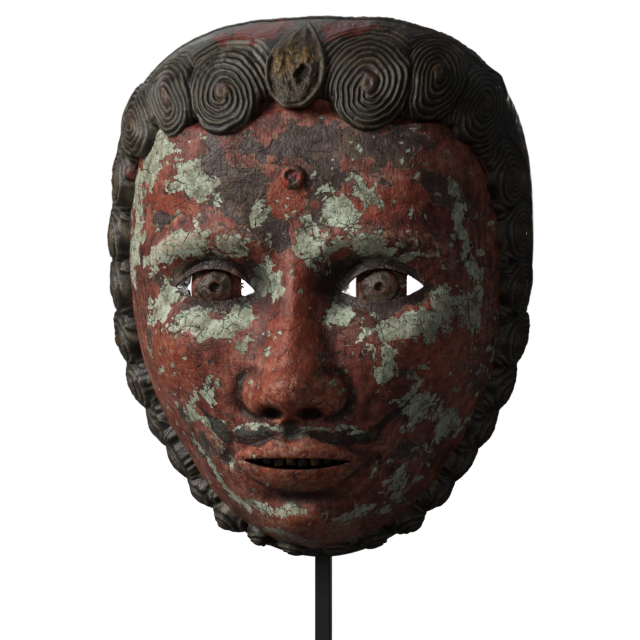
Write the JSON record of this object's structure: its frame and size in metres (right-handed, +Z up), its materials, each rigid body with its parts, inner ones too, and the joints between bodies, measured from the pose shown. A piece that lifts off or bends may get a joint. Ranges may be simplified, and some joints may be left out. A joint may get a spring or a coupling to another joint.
{
  "type": "carved face mask on stand",
  "caption": "Hollow carved wooden face mask with curled hair and beard, almond eye openings and worn red paint, on a square black post with a flat base.",
  "frame": {"origin": "centre of the base's underside, on the floor", "axes": "+Z up, the mask looks along -Y, +X is the viewer's right"},
  "size_m": [0.17, 0.1249, 0.2675],
  "materials": {
    "painted_wood": "worn, flaking red paint over dark wood",
    "gilt_wood": "worn gold paint over dark wood",
    "dark_wood": "dark, worn",
    "eye_paint": "dark paint, slight gloss",
    "tooth_paint": "dark stained",
    "leather": "old, matte",
    "dark_iron": "rusty brown",
    "brass": "dull",
    "black_steel": "satin black",
    "screw_steel": "plain",
    "felt": "matte felt",
    "rubber_pad": "matte sleeve"
  },
  "bodies": {
    "stand": {"base_plate": "black_steel", "base_felt": "felt", "post": "black_steel", "post_screw": "screw_steel", "pin_arm": "black_steel", "pin_collar": "black_steel", "pin_pad": "felt", "chin_bar": "black_steel", "chin_pad_left": "rubber_pad", "chin_pad_right": "rubber_pad"},
    "mask": {"mask_shell": "painted_wood", "forehead_drop": "gilt_wood", "brow_stud": "dark_wood", "eye_left": "eye_paint", "eye_right": "eye_paint", "upper_teeth": "tooth_paint", "bite_tab": "leather", "bite_tab_tacks": "dark_iron", "pin_sleeve": "brass"}
  },
  "joints": [
    {"name": "mask_lift_off", "type": "slide", "parent": "stand", "child": "mask", "axis": [0, -0.7071, 0.7071], "range_m": [0, 0.15]}
  ]
}
